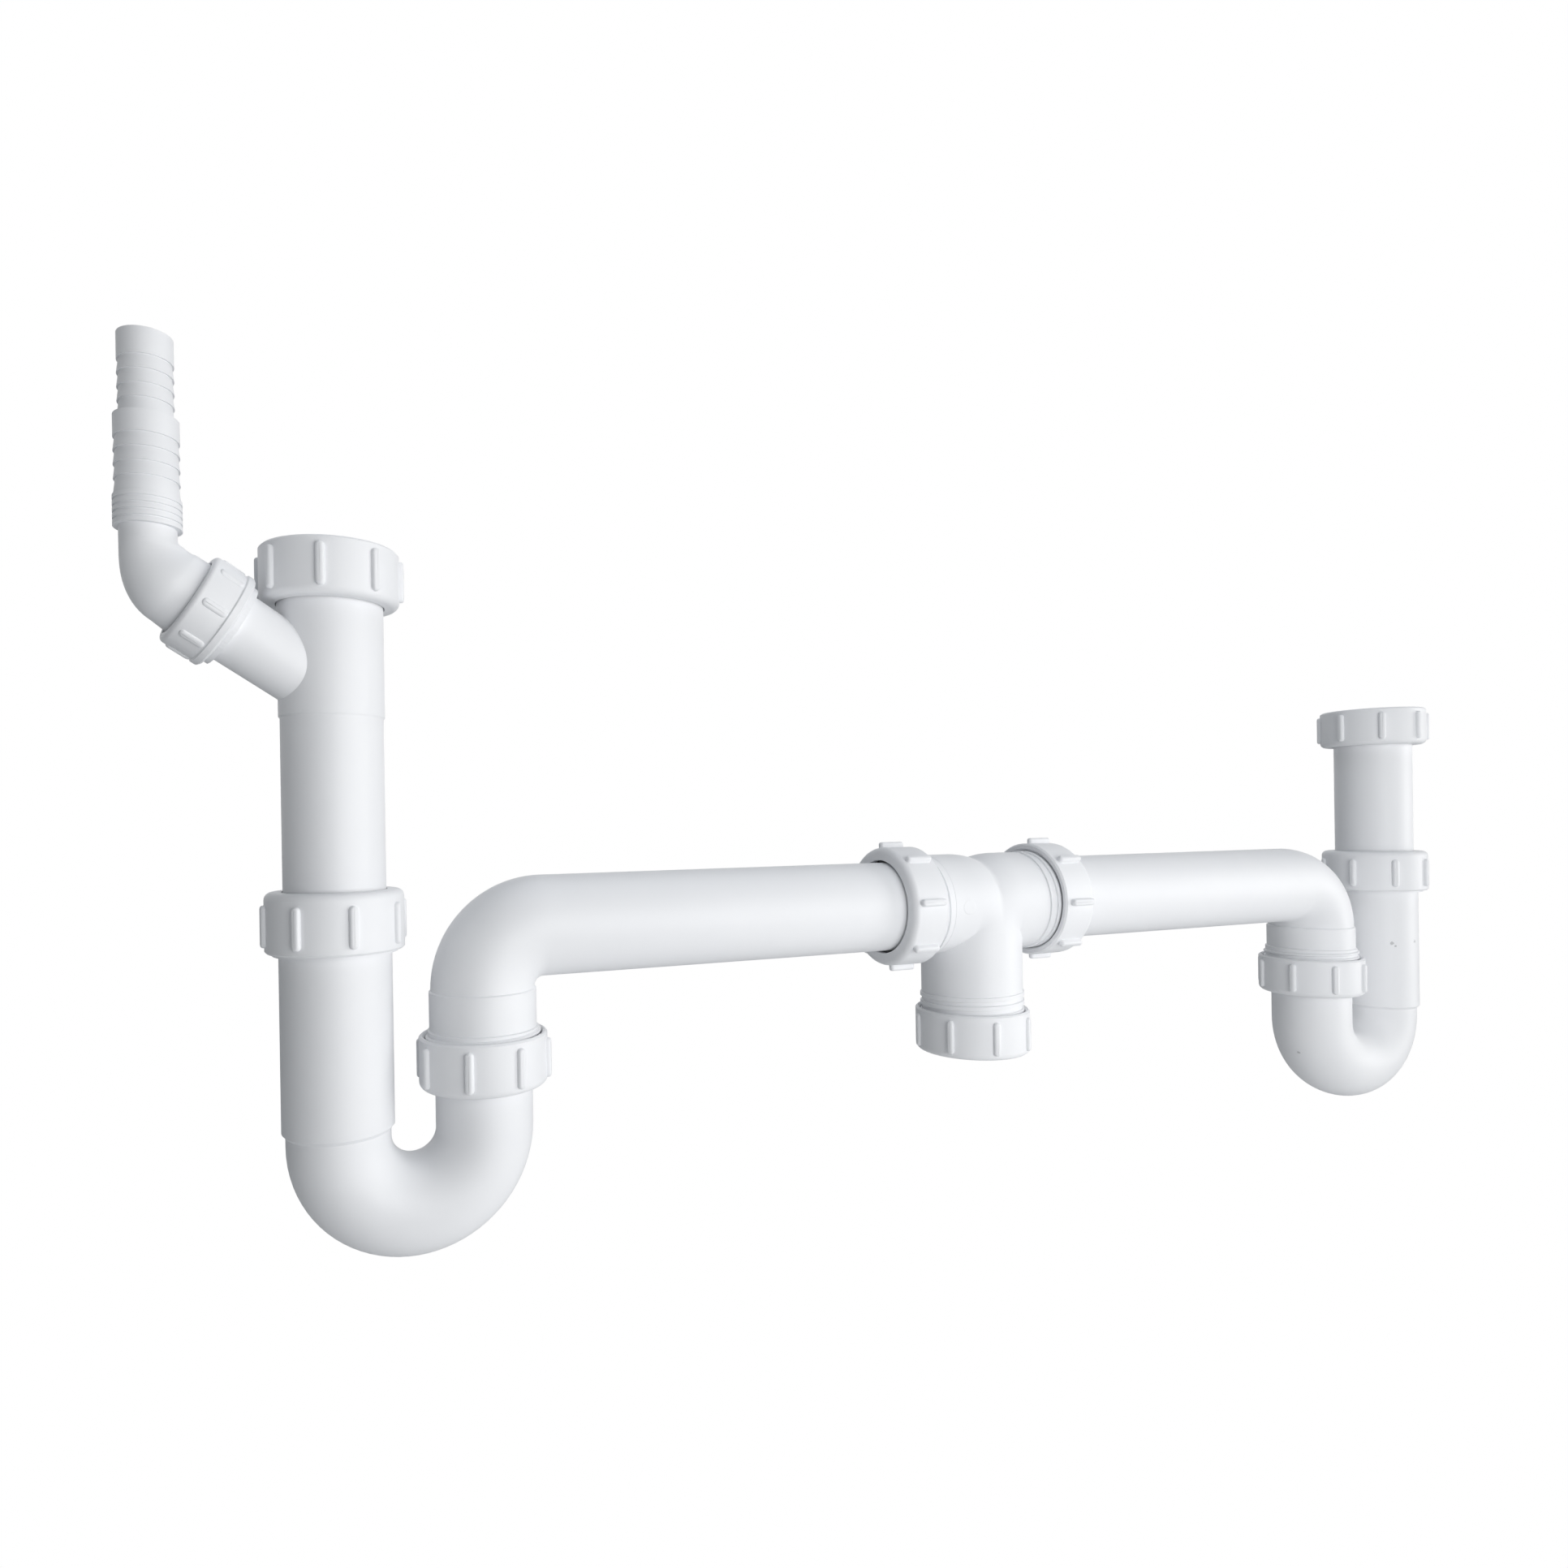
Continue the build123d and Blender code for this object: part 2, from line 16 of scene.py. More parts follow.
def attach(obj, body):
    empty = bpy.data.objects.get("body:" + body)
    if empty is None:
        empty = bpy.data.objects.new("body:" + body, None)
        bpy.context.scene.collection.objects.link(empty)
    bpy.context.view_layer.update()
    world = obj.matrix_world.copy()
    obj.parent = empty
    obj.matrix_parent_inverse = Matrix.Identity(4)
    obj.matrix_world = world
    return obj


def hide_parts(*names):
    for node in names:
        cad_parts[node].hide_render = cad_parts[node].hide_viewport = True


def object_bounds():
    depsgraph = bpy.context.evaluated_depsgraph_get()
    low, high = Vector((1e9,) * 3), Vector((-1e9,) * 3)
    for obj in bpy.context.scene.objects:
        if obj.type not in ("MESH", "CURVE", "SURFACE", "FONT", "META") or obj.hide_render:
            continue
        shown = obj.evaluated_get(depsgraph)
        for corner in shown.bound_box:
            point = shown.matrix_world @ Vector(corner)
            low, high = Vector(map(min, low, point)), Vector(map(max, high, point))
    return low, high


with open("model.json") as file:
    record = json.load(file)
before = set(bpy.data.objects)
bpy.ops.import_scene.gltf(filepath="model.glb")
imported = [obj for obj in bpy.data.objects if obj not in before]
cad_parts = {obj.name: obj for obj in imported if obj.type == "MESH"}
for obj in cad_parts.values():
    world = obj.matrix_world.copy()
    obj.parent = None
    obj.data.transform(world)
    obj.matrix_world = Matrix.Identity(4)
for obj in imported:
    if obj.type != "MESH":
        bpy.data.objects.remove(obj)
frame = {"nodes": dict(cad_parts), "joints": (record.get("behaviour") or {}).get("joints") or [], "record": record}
cad_low, cad_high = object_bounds()
record = frame["record"]
nodes = frame["nodes"]
body_of = {node: body for body, members in record["behaviour"]["bodies"].items() for node in members}
slot_of = {part["node"]: part["material_slot"] for part in record["subparts"]}
turn_of = {joint["child"]: joint for joint in frame["joints"]}
SIDES = {"left": -1, "right": 1}
MM = 0.001

# %% [markdown]
# ## Colours and nodes
# Colours are written as the hex values that a paint program shows, which are sRGB, while shaders work in
# linear light. One function converts them. A second one adds a shader node with its settings, values and
# links, so that each material below reads as a short recipe.

# %% Colour and node helpers
def colour(hex_code):
    """Linear RGBA colour of an sRGB hex code."""
    channels = [int(hex_code[i:i + 2], 16) / 255 for i in (1, 3, 5)]
    return [c / 12.92 if c <= 0.04045 else ((c + 0.055) / 1.055) ** 2.4 for c in channels] + [1.0]


def add_node(tree, kind, values=None, links=None, **settings):
    """Adds a shader node: settings are its properties, values its plain inputs and links its linked inputs."""
    node = tree.nodes.new(kind)
    for name, setting in settings.items():
        setattr(node, name, setting)
    for name, value in (values or {}).items():
        node.inputs[name].default_value = value
    for name, source in (links or {}).items():
        tree.links.new(source, node.inputs[name])
    return node


def per_metre(size_mm):
    """Texture scale whose features are about size_mm across, on coordinates in metres."""
    return 1 / (size_mm * MM)


print("mid grey is", round(colour("#808080")[0], 3), "in linear light")

# %% [markdown]
# ## White polypropylene
# The tubes, bends and nuts are injection-moulded polypropylene: a soft white with a satin skin that copies the
# steel of the mould. It shows a very fine grain, a slight waviness where thick ribs have sunk as they cooled,
# and a sheen that varies a little from place to place. One flat colour would make the long tubes look like
# paper, so noises at real sizes give these three, and a fourth clouds the white. The grain is drawn a little
# coarser than the real one so that it shows in the picture. The right U-bend has a few tiny scuffs, and the
# tee the faint round stub that the gate of the mould leaves.

# %% White polypropylene
GRAIN_MM = 0.8
WAVE_MM = 14.0
SHEEN_MM = 9.0
CLOUD_MM = 45.0
BLOT_MM = 1.2
STUB_EDGE_MM = 0.5


def distance_to(tree, place, point):
    """Distance from a place on the object to a point in millimetres."""
    away = add_node(tree, "ShaderNodeVectorMath", None, {0: place}, operation="DISTANCE")
    away.inputs[1].default_value = Vector(point) * MM
    return away.outputs["Value"]


def moulded_plastic(name, light, dark, roughness, scuffs=(), gates=()):
    """Moulded plastic, with dark scuffs and round gate marks as (point, radius) in millimetres."""
    material = bpy.data.materials.new(name)
    material.use_nodes = True
    tree = material.node_tree
    shader = tree.nodes["Principled BSDF"]
    shader.inputs["IOR"].default_value = 1.49
    place = add_node(tree, "ShaderNodeTexCoord").outputs["Object"]
    cloud = add_node(tree, "ShaderNodeTexNoise", {"Scale": per_metre(CLOUD_MM), "Detail": 3.0},
                     {"Vector": place})
    tint = add_node(tree, "ShaderNodeMix", {"A": colour(dark), "B": colour(light)},
                    {"Factor": cloud.outputs["Fac"]}, data_type="RGBA").outputs["Result"]
    blot = add_node(tree, "ShaderNodeTexNoise", {"Scale": per_metre(BLOT_MM), "Detail": 2.0},
                    {"Vector": place})
    for point, radius in scuffs:
        ragged = add_node(tree, "ShaderNodeMath", {1: 2 * radius * MM, 2: -radius * MM},
                          {0: blot.outputs["Fac"]}, operation="MULTIPLY_ADD")
        away = add_node(tree, "ShaderNodeMath", None,
                        {0: distance_to(tree, place, point), 1: ragged.outputs[0]}, operation="ADD")
        mark = add_node(tree, "ShaderNodeMapRange",
                        {"From Min": radius * MM, "From Max": 0.5 * radius * MM, "To Min": 0.0, "To Max": 0.45},
                        {"Value": away.outputs[0]})
        tint = add_node(tree, "ShaderNodeMix", {"B": colour("#6A6C6E")},
                        {"Factor": mark.outputs["Result"], "A": tint}, data_type="RGBA").outputs["Result"]
    tree.links.new(tint, shader.inputs["Base Color"])
    sheen = add_node(tree, "ShaderNodeTexNoise", {"Scale": per_metre(SHEEN_MM), "Detail": 2.0},
                     {"Vector": place})
    gloss = add_node(tree, "ShaderNodeMapRange", {"To Min": roughness - 0.04, "To Max": roughness + 0.05},
                     {"Value": sheen.outputs["Fac"]})
    tree.links.new(gloss.outputs["Result"], shader.inputs["Roughness"])
    grain = add_node(tree, "ShaderNodeTexNoise", {"Scale": per_metre(GRAIN_MM), "Detail": 2.0},
                     {"Vector": place})
    wave = add_node(tree, "ShaderNodeTexNoise", {"Scale": per_metre(WAVE_MM), "Detail": 1.0},
                    {"Vector": place})
    sunk = add_node(tree, "ShaderNodeBump", {"Strength": 0.25, "Distance": 0.10 * MM},
                    {"Height": wave.outputs["Fac"]})
    normal = add_node(tree, "ShaderNodeBump", {"Strength": 0.25, "Distance": 0.012 * MM},
                      {"Height": grain.outputs["Fac"], "Normal": sunk.outputs["Normal"]}).outputs["Normal"]
    for point, radius in gates:
        stub = add_node(tree, "ShaderNodeMapRange",
                        {"From Min": radius * MM, "From Max": (radius - STUB_EDGE_MM) * MM},
                        {"Value": distance_to(tree, place, point)})
        normal = add_node(tree, "ShaderNodeBump", {"Strength": 0.6, "Distance": 0.2 * MM},
                          {"Height": stub.outputs["Result"], "Normal": normal}).outputs["Normal"]
    tree.links.new(normal, shader.inputs["Normal"])
    return material


WHITE = ("#EFF0F2", "#EAEBEE", 0.46)
white_plastic = moulded_plastic("moulded_white_polypropylene", *WHITE)
scuffed_plastic = moulded_plastic("scuffed_white_polypropylene", *WHITE, scuffs=[
    ((295.96, -17.59, 29.49), 1.3),
    ((297.6, -18.6, 27.8), 0.8),
    ((310.44, -21.45, 30.04), 1.1),
    ((234.03, -3.36, -33.49), 1.0),
])
gated_plastic = moulded_plastic("gated_white_polypropylene", *WHITE, gates=[((-20.1, -24.6, 66.2), 3.6)])
print("made", white_plastic.name, scuffed_plastic.name, gated_plastic.name)

# %% [markdown]
# ## Polyethylene rings and rubber seals
# Inside each slip nut a black polyethylene ring keeps the turning nut from dragging the seal, and the seals and
# flat washers are black rubber. They show as a dark line round the tube in the hole of a nut. The rings share
# the recipe of the white plastic in another colour. The rubber needs no pattern, because so little of it shows.

# %% Ring and seal finishes
ring_plastic = moulded_plastic("black_polyethylene", "#232425", "#1C1D1E", 0.45)
black_rubber = bpy.data.materials.new("moulded_black_rubber")
black_rubber.use_nodes = True
rubber_shader = black_rubber.node_tree.nodes["Principled BSDF"]
rubber_shader.inputs["Base Color"].default_value = colour("#262627")
rubber_shader.inputs["Roughness"].default_value = 0.62
rubber_shader.inputs["IOR"].default_value = 1.52
SPECIAL = {"right_u_bend": scuffed_plastic, "tee": gated_plastic}
FINISHES = {"white_plastic": white_plastic, "ring_plastic": ring_plastic, "rubber_seal": black_rubber}
print("finishes", sorted(FINISHES))

# %% [markdown]
# ## From circles to skins
# Nearly every piece here is a tube: a chain of circles, each with its own place and radius. A bevelled curve
# could make a tube too, but with one radius and no bore. So one circle is extruded again and again, and then
# each circle is moved to its station. The chain runs along the outside, comes back along the bore and closes on
# itself, which makes a whole moulding with its wall. Its edges are as its section draws them, so a radius that
# catches light, such as the shoulder of a nut, is drawn as an arc of circles.

# %% Mesh helpers
AROUND = 96
SHARP_DEGREES = 35
WELD_MM = 0.001


def skin(stations):
    """Closed skin through circles, given as (place, radius in mm) in order round the section of the wall."""
    bm = bmesh.new()
    bmesh.ops.create_circle(bm, cap_ends=False, segments=AROUND, radius=1)
    rim, circles = bm.edges[:], [bm.verts[:]]
    for _ in stations:
        grown = bmesh.ops.extrude_edge_only(bm, edges=rim)["geom"]
        rim = [part for part in grown if isinstance(part, bmesh.types.BMEdge) and part.is_boundary]
        circles.append([part for part in grown if isinstance(part, bmesh.types.BMVert)])
    for corners, (place, radius) in zip(circles, stations + stations[:1]):
        bmesh.ops.transform(bm, matrix=place @ Matrix.Scale(radius * MM, 4), verts=corners)
    bmesh.ops.remove_doubles(bm, verts=bm.verts[:], dist=WELD_MM * MM)
    return bm


def level(z, x=0.0):
    """Place of a level circle at a height, in millimetres."""
    return Matrix.Translation((x * MM, 0, z * MM))


def on_arc(x, z, radius, degrees):
    """Place of a circle across an arc in the XZ plane, at an angle from X towards Z, in millimetres."""
    turn = Matrix.Rotation(-math.radians(degrees), 4, "Y")
    return level(z, x) @ turn @ Matrix.Translation((radius * MM, 0, 0))


def along(place, distance):
    """A place moved along its own Z, in millimetres."""
    return place @ Matrix.Translation((0, 0, distance * MM))


def turned(outline, x=0.0):
    """Closed skin about an upright axis from an outline of (radius, height) points in millimetres."""
    return skin([(level(z, x), r) for r, z in outline])


def absorb(bm, other, place):
    """Moves another mesh to a place and adds it to this one."""
    bmesh.ops.transform(other, matrix=place, verts=other.verts[:])
    carrier = bpy.data.meshes.new("carrier")
    other.to_mesh(carrier)
    other.free()
    bm.from_mesh(carrier)
    bpy.data.meshes.remove(carrier)


def piece(bm, node, sharp=SHARP_DEGREES):
    """The object that stands for a node, on the node's body and with its finish."""
    bmesh.ops.recalc_face_normals(bm, faces=bm.faces[:])
    mesh = bpy.data.meshes.new(node + "_skin")
    bm.to_mesh(mesh)
    bm.free()
    mesh.materials.append(SPECIAL.get(node, FINISHES[slot_of[node]]))
    mesh.shade_smooth()
    mesh.set_sharp_from_angle(angle=math.radians(sharp))
    made = bpy.data.objects.new(node + "_skin", mesh)
    bpy.context.scene.collection.objects.link(made)
    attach(made, body_of[node])
    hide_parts(node)
    return made


def merged_copy(node):
    """A node's own triangles, welded so that they can be smooth-shaded."""
    bm = bmesh.new()
    bm.from_mesh(nodes[node].data)
    bmesh.ops.remove_doubles(bm, verts=bm.verts[:], dist=WELD_MM * MM)
    return bm


print("circles of", AROUND, "corners")

# %% [markdown]
# ## Normals of copied tubes
# A few pieces are copied from their solids, whose tubes are long thin triangles. Smooth shading averages the
# faces that meet at a corner, and on such triangles that shows as stripes. Cutting them finer would make the
# mesh heavy, so the corners that lie on a cylinder get that cylinder's own normals.

# %% Cylinder normals
ON_WALL_MM = 0.02
END_FACING = 0.2


def true_normals(mesh, cylinders):
    """Gives the face corners on cylinders, as (place, radius), the cylinder's own normals."""
    normals = [corner.vector.copy() for corner in mesh.corner_normals]
    for place, radius in cylinders:
        inverse = place.inverted()
        axis = place.to_3x3().col[2]
        local = [inverse @ vert.co for vert in mesh.vertices]
        on_wall = [abs(p.xy.length - radius * MM) < ON_WALL_MM * MM for p in local]
        for face in mesh.polygons:
            if abs(face.normal.dot(axis)) > END_FACING or not all(on_wall[i] for i in face.vertices):
                continue
            for corner, i in zip(face.loop_indices, face.vertices):
                outwards = place.to_3x3() @ Vector((local[i].x, local[i].y, 0)).normalized()
                normals[corner] = outwards if outwards.dot(face.normal) > 0 else -outwards
    mesh.normals_split_custom_set(normals)


print("corners within", ON_WALL_MM, "mm of a cylinder take its normals")

# %% [markdown]
# ## Threads
# A moulded thread is a low rounded ridge that climbs round the tube. A bump in the material would vanish at the
# outline of the tube, so the ridge is a mesh. Its section is a loop of four edges, and a spin that also rises a
# little at each step turns that into a helix. The ends are capped, and the foot sinks into the wall.

# %% Thread helper
THREAD_STEPS = 72
FOOT_SINK = 0.3
FREE_END = 0.4
END_DEGREES = 90


def thread(root_r, crest_r, pitch, low, high, crest=0.14, foot=0.40):
    """Helical ridge about Z between two heights, in millimetres.

    Crest and foot are half widths as shares of the pitch. A crest inside its root makes the thread of a nut.
    """
    bm = bmesh.new()
    outwards = 1 if crest_r > root_r else -1
    foot_r = root_r - FOOT_SINK * outwards
    section = [(foot_r, -foot), (crest_r, -crest), (crest_r, crest), (foot_r, foot)]
    start = low + FREE_END * pitch
    corners = [bm.verts.new((r * MM, 0, (start + share * pitch) * MM)) for r, share in section]
    loop = [bm.edges.new((a, b)) for a, b in zip(corners, corners[1:] + corners[:1])]
    turns = (high - low) / pitch - 2 * FREE_END
    steps = max(2, round(THREAD_STEPS * turns))
    rise = Vector((0, 0, turns * pitch * MM / steps))
    bmesh.ops.spin(bm, geom=corners + loop, cent=(0, 0, 0), axis=(0, 0, 1), dvec=rise, angle=turns * math.tau,
                   steps=steps, use_merge=False, use_duplicate=False)
    bmesh.ops.holes_fill(bm, edges=[e for e in bm.edges if e.is_boundary], sides=4)
    turn = Matrix.Rotation(math.radians(END_DEGREES) - turns * math.tau, 3, "Z")
    bmesh.ops.rotate(bm, verts=bm.verts[:], cent=(0, 0, 0), matrix=turn)
    return bm


print("threads of", THREAD_STEPS, "steps a turn")

# %% [markdown]
# ## Nuts
# Each joint is drawn up by a ribbed nut: a cup with a hole in its closed end, a thread inside and eight ribs
# for the hand. The nut is turned from its section, standing on its closed end. One rib is a block whose ends
# are rounded by a bevel of half its width, and a spin that duplicates sets it round the nut. The ribs only sink
# into the wall: a boolean would join them, but it leaves ragged edges that shade badly. The joint in the frame
# gives the axis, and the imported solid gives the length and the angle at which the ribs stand.

# %% Nut helpers
NUT_FLOOR = 3.0
NUT_ROUND = 3.0
NUT_LIP = 0.8
NUT_LEAD = 0.9
NUT_PITCH = 2.3
NUT_THREAD_DEPTH = 0.9
NUT_THREAD_START = 0.45
NUT_THREAD_INSET = 0.5
RIM_SLOPE = 0.5
RIB_COUNT = 8
RIB_WIDTH = 3.4
RIB_INSET = 2.6
RIB_SINK = 1.0
RIB_SOFT = 1.1
RIB_END = 0.49
ROUND_STEPS = 6


def nut_place(node, closed_high, body_r, rib_r):
    """Place whose Z runs up a nut from its closed end, with X on a rib, and the nut's length in millimetres."""
    joint = turn_of[node]
    axis = Vector(joint["axis"]).normalized()
    origin = Vector(joint["pos_m"])
    reach = [(v.co - origin).dot(axis) for v in nodes[node].data.vertices]
    closed = origin + axis * (max(reach) if closed_high else min(reach))
    up = -axis if closed_high else axis
    place = Matrix.Translation(closed) @ up.to_track_quat("Z", "Y").to_matrix().to_4x4()
    inverse = place.inverted()
    local = [inverse @ v.co for v in nodes[node].data.vertices]
    crests = [p for p in local if p.xy.length > (body_r + rib_r) / 2 * MM]
    angles = [RIB_COUNT * math.atan2(p.y, p.x) for p in crests]
    turn = math.atan2(sum(map(math.sin, angles)), sum(map(math.cos, angles))) / RIB_COUNT
    return place @ Matrix.Rotation(turn, 4, "Z"), (max(reach) - min(reach)) / MM


def ribs(body_r, rib_r, low, high):
    """Ribs with rounded ends, to stand on a nut's wall."""
    bm = bmesh.new()
    depth = rib_r - body_r + RIB_SINK
    size = Matrix.Diagonal((depth * MM, RIB_WIDTH * MM, (high - low) * MM, 1))
    centre = Matrix.Translation(((rib_r - depth / 2) * MM, 0, (low + high) / 2 * MM))
    bmesh.ops.create_cube(bm, size=1, matrix=centre @ size)
    corners = [e for e in bm.edges if abs(e.verts[0].co.x - e.verts[1].co.x) > depth / 2 * MM]
    bmesh.ops.bevel(bm, geom=corners, offset=RIB_WIDTH * RIB_END * MM, affect="EDGES", segments=ROUND_STEPS,
                    profile=0.5, material=-1)
    crest = [e for e in bm.edges if min(v.co.x for v in e.verts) > (rib_r - depth / 2) * MM]
    bmesh.ops.bevel(bm, geom=crest, offset=RIB_SOFT * MM, affect="EDGES", segments=3, profile=0.5, material=-1)
    bmesh.ops.spin(bm, geom=bm.verts[:] + bm.edges[:] + bm.faces[:], cent=(0, 0, 0), axis=(0, 0, 1),
                   dvec=(0, 0, 0), angle=math.tau * (RIB_COUNT - 1) / RIB_COUNT, steps=RIB_COUNT - 1,
                   use_duplicate=True)
    return bm


def nut_piece(node, hole_r, bore_r, body_r, rib_r, closed_high=False, crown=0.0, rim=0.0, rounding=NUT_ROUND):
    """One ribbed nut, whose ribs may start above a plain crown and end at a raised rim."""
    place, length = nut_place(node, closed_high, body_r, rib_r)
    arc = [math.pi / 2 * i / ROUND_STEPS for i in range(ROUND_STEPS + 1)]
    shoulder = [(body_r - rounding * (1 - math.sin(a)), rounding * (1 - math.cos(a))) for a in arc]
    edge = [(body_r, length - NUT_LIP)]
    if rim:
        edge = [(body_r, length - rim), (rib_r, length - rim + RIM_SLOPE), (rib_r, length - NUT_LIP)]
    body = turned([
        (hole_r, 0),
        *shoulder,
        *edge,
        (edge[-1][0] - NUT_LIP, length),
        (bore_r + NUT_LEAD, length),
        (bore_r, length - NUT_LEAD),
        (bore_r, NUT_FLOOR),
        (hole_r, NUT_FLOOR),
    ])
    ridge = thread(bore_r, bore_r - NUT_THREAD_DEPTH, NUT_PITCH, length * NUT_THREAD_START,
                   length - NUT_LEAD - NUT_THREAD_INSET)
    bm = ribs(body_r, rib_r, crown + RIB_INSET, length - (rim or RIB_INSET))
    absorb(bm, ridge, Matrix())
    absorb(bm, body, Matrix())
    bmesh.ops.transform(bm, matrix=place, verts=bm.verts[:])
    return piece(bm, node)


print(RIB_COUNT, "ribs on each nut")

# %% [markdown]
# ## The ten nuts
# The six nuts of the traps are alike apart from their holes, which fit the tubes that they hold. Two of them,
# the slip nuts, have a plain crown above their ribs. The nuts of the tee are larger, and those at its two ends
# have holes wide enough to show the dark ring behind them. The small nut of the hose nozzle has a raised rim at
# its open end. Each size is a bore, a wall between the ribs and a height over them, as radii.

# %% The ten nuts
TUBE_R = 19.65
BRANCH_TUBE_R = 20.2
BEND_R = 20.1
PIPE_R = 21.5
HOLE_GAP = 0.5
RUN_HOLE_GAP = 1.3
SLIP_CROWN = 2.0
UNION_NUT = (24.2, 26.6, 28.4)
RUN_NUT = (25.5, 28.9, 31.6)
OUTLET_NUT = (25.5, 27.7, 29.3)
HOSE_NUT = (16.9, 18.5, 19.2)
HOSE_NUT_HOLE_R, HOSE_NUT_RIM, HOSE_NUT_ROUND = 15.5, 3.4, 1.8
for side in SIDES:
    neck_r = BRANCH_TUBE_R if side == "left" else TUBE_R
    nut_piece(f"{side}_inlet_nut", neck_r + HOLE_GAP, *UNION_NUT)
    nut_piece(f"{side}_slip_nut", TUBE_R + HOLE_GAP, *UNION_NUT, closed_high=True, crown=SLIP_CROWN)
    nut_piece(f"{side}_riser_nut", BEND_R + HOLE_GAP, *UNION_NUT)
    nut_piece(f"{side}_tee_nut", PIPE_R + RUN_HOLE_GAP, *RUN_NUT, closed_high=True)
nut_piece("outlet_nut", PIPE_R + HOLE_GAP, *OUTLET_NUT)
nut_piece("nozzle_nut", HOSE_NUT_HOLE_R, *HOSE_NUT, closed_high=True, rim=HOSE_NUT_RIM, rounding=HOSE_NUT_ROUND)
print("ten nuts")

# %% [markdown]
# ## U-bends
# A U-bend is one moulding: the wide socket that takes the inlet tube, a step, the U itself and the flange of
# the riser. Its circles run down the outside, round the arc and up to the flange, and come back along the bore.
# Both are built as the right one, and the left one is then flipped in X.

# %% U-bends
RISER_X, TRAP_SPAN, ARM_HEIGHT = 250.2, 58.2, 66.3
BEND_BORE_R, SOCKET_BORE_R, SOCKET_R = 17.9, 19.95, 21.55
THREAD_R, FLANGE_R = 23.9, 23.4
BEND_Z = ARM_HEIGHT - 81.3
SHOULDER, SHOULDER_SLOPE = ARM_HEIGHT - 75.7, 1.6
SOCKET_MOUTH, SOCKET_THREAD, SOCKET_LEAD = ARM_HEIGHT + 11.05, 17.4, 1.5
FLANGE_Z, FLANGE_THICKNESS = ARM_HEIGHT - 61.75, 3.0
ARC_STEPS = 40
INLET_X = RISER_X + TRAP_SPAN


def u_bend_piece(side):
    """One U-bend with its telescopic socket."""
    angles = [-180 * i / ARC_STEPS for i in range(ARC_STEPS + 1)]
    arc = [on_arc(RISER_X + TRAP_SPAN / 2, BEND_Z, TRAP_SPAN / 2, a) for a in angles]
    riser = [along(arc[-1], BEND_Z - z) for z in (FLANGE_Z, FLANGE_Z + FLANGE_THICKNESS)]
    outside = [
        (level(SOCKET_MOUTH, INLET_X), THREAD_R),
        (level(SOCKET_MOUTH - SOCKET_THREAD, INLET_X), THREAD_R),
        (level(SOCKET_MOUTH - SOCKET_THREAD, INLET_X), SOCKET_R),
        (level(SHOULDER, INLET_X), SOCKET_R),
        (level(SHOULDER - SHOULDER_SLOPE, INLET_X), BEND_R),
        *[(place, BEND_R) for place in arc],
        (riser[0], BEND_R),
        (riser[0], FLANGE_R),
        (riser[1], FLANGE_R),
    ]
    inside = [
        (riser[1], BEND_BORE_R),
        *[(place, BEND_BORE_R) for place in reversed(arc)],
        (level(SHOULDER - SHOULDER_SLOPE, INLET_X), BEND_BORE_R),
        (level(SHOULDER, INLET_X), SOCKET_BORE_R),
        (level(SOCKET_MOUTH - SOCKET_LEAD, INLET_X), SOCKET_BORE_R),
        (level(SOCKET_MOUTH, INLET_X), SOCKET_BORE_R + SOCKET_LEAD),
    ]
    bm = skin(outside + inside)
    bmesh.ops.scale(bm, vec=(SIDES[side], 1, 1), verts=bm.verts[:])
    return piece(bm, f"{side}_u_bend")


for side in SIDES:
    print(u_bend_piece(side).name)

# %% [markdown]
# ## Outlet arms
# Each arm rises from a threaded collar, turns through its elbow and runs on into the tee. The collar's thread
# stands above the nut, so its ridges show, and on the left one it runs out a little lower. The ridges are added
# after the left arm is flipped, because a flipped thread would be left-handed.

# %% Outlet arms
PIPE_BORE_R, COLLAR_R = 19.3, 22.2
ELBOW_R = 25.0
COLLAR_END = ARM_HEIGHT - 56.25
THREAD_TOPS = {"left": ARM_HEIGHT - 41.0, "right": ARM_HEIGHT - 37.5}
COLLAR_TOP, COLLAR_SLOPE = ARM_HEIGHT - ELBOW_R, 0.5
ARM_RUN = 194.75
THREAD_DEPTH, THREAD_RUNOUT = 0.95, 0.4
MALE_PITCH = 2.9


def outlet_arm_piece(side):
    """One arm with its elbow and threaded collar."""
    root_r, thread_top = THREAD_R - THREAD_DEPTH, THREAD_TOPS[side]
    angles = [90 * i / ARC_STEPS for i in range(ARC_STEPS + 1)]
    arc = [on_arc(RISER_X - ELBOW_R, COLLAR_TOP, ELBOW_R, a) for a in angles]
    end = along(arc[-1], ARM_RUN)
    outside = [
        (level(COLLAR_END, RISER_X), root_r),
        (level(thread_top - THREAD_RUNOUT, RISER_X), root_r),
        (level(thread_top, RISER_X), COLLAR_R),
        (level(COLLAR_TOP - COLLAR_SLOPE, RISER_X), COLLAR_R),
        (level(COLLAR_TOP, RISER_X), PIPE_R),
        *[(place, PIPE_R) for place in arc[1:]],
        (end, PIPE_R),
    ]
    inside = [
        (end, PIPE_BORE_R),
        *[(place, PIPE_BORE_R) for place in reversed(arc)],
        (level(COLLAR_END, RISER_X), PIPE_BORE_R),
    ]
    bm = skin(outside + inside)
    bmesh.ops.scale(bm, vec=(SIDES[side], 1, 1), verts=bm.verts[:])
    ridge = thread(root_r, THREAD_R, MALE_PITCH, COLLAR_END, thread_top)
    absorb(bm, ridge, level(0, SIDES[side] * RISER_X))
    return piece(bm, f"{side}_outlet_arm")


for side in SIDES:
    print(outlet_arm_piece(side).name)

